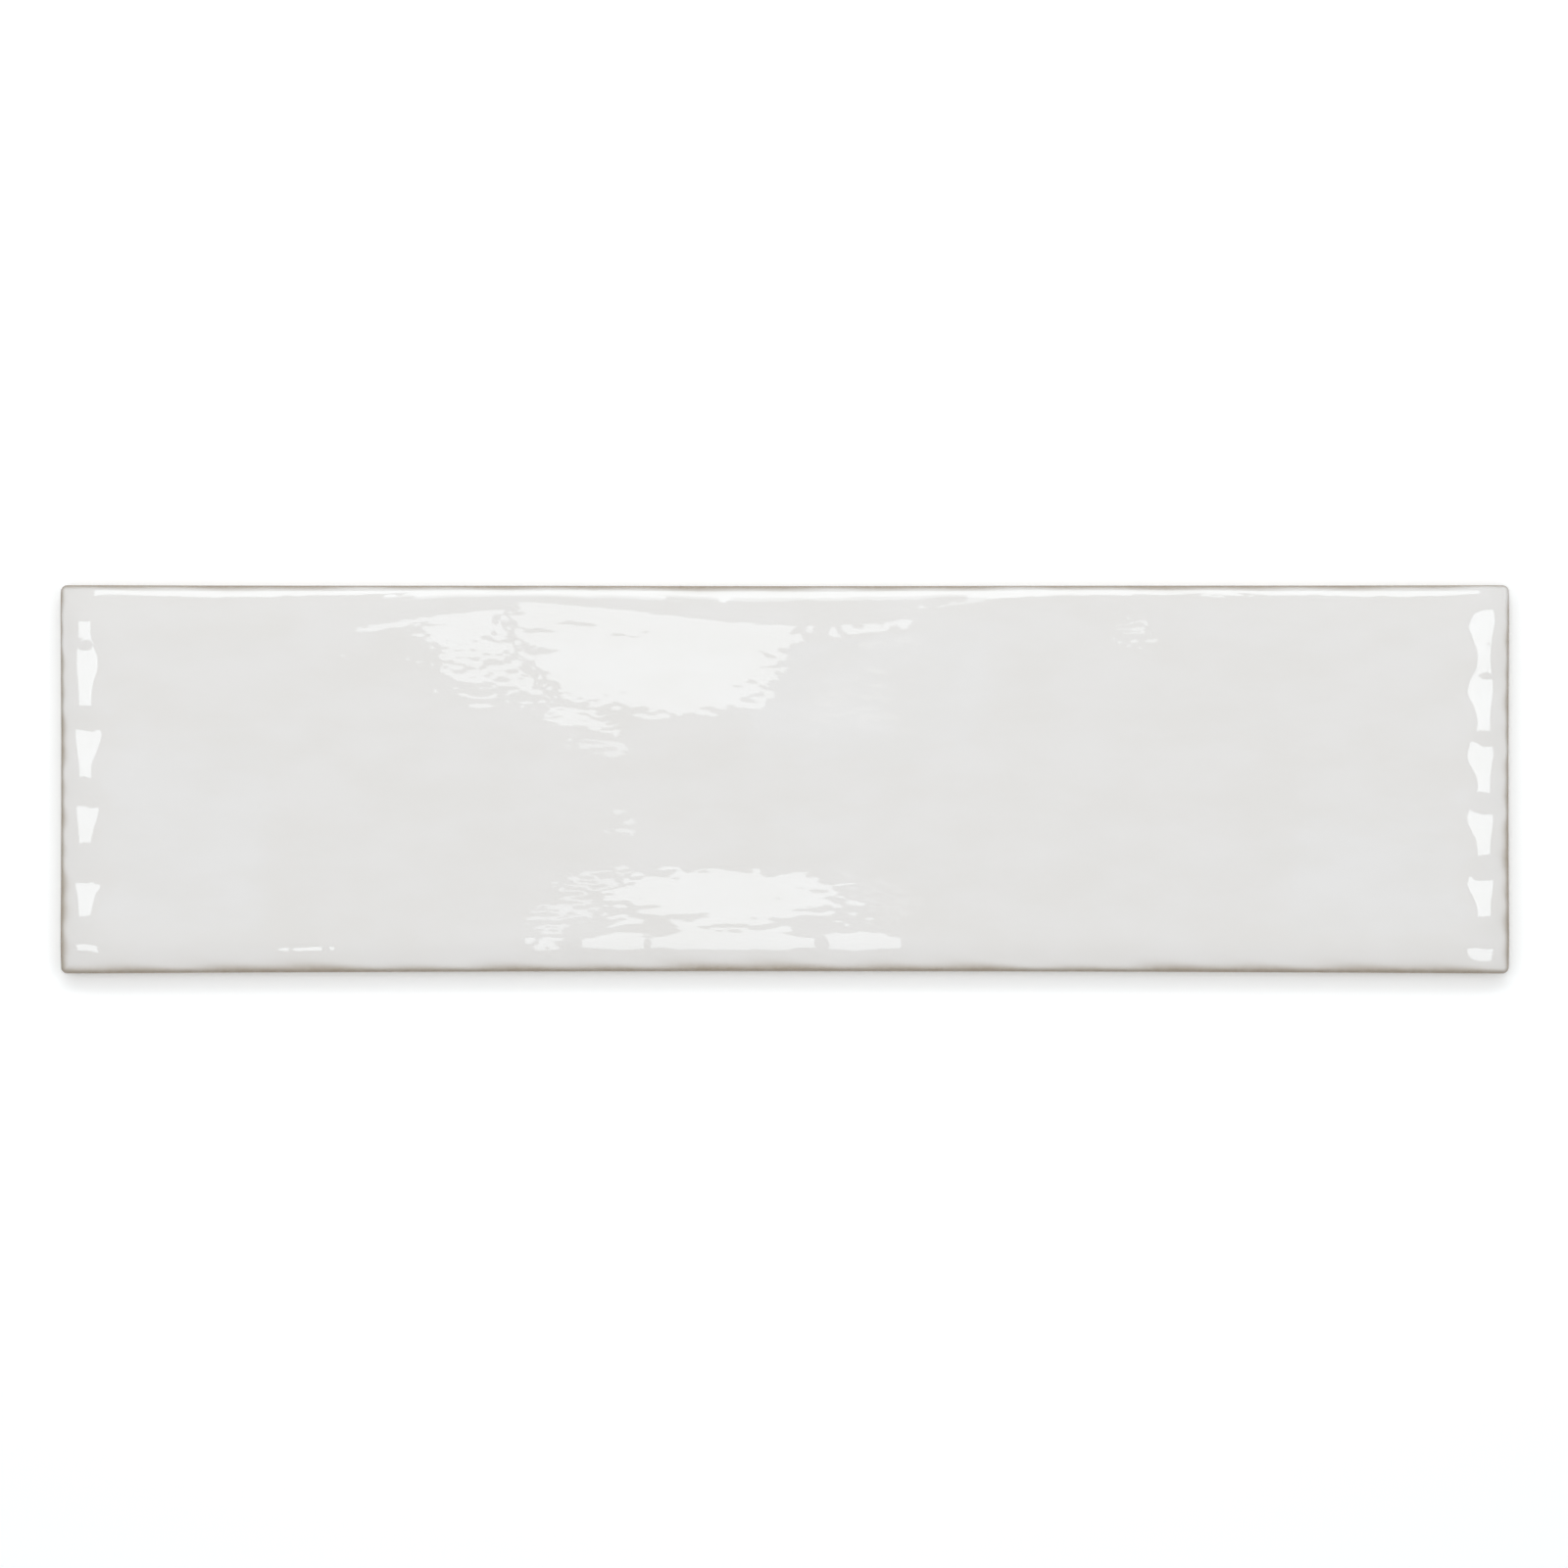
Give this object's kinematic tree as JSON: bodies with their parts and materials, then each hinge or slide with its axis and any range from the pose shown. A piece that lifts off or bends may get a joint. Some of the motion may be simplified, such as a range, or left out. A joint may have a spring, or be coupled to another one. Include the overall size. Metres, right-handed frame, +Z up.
{
  "type": "glazed ceramic wall tile",
  "caption": "Long narrow glossy white wall tile with a softly wavy cushioned face, rounded rim and ribbed back, bedded in adhesive to line a wall.",
  "frame": {"origin": "middle of the plane that the ribs of the back rest on", "axes": "+X along the length, +Y across the width, +Z up out of the glazed face"},
  "size_m": [0.3, 0.0804, 0.009],
  "materials": {
    "glaze": "gloss white glaze, thin and brown at the rim"
  },
  "bodies": {
    "root": {"tile": "glaze"}
  },
  "joints": []
}
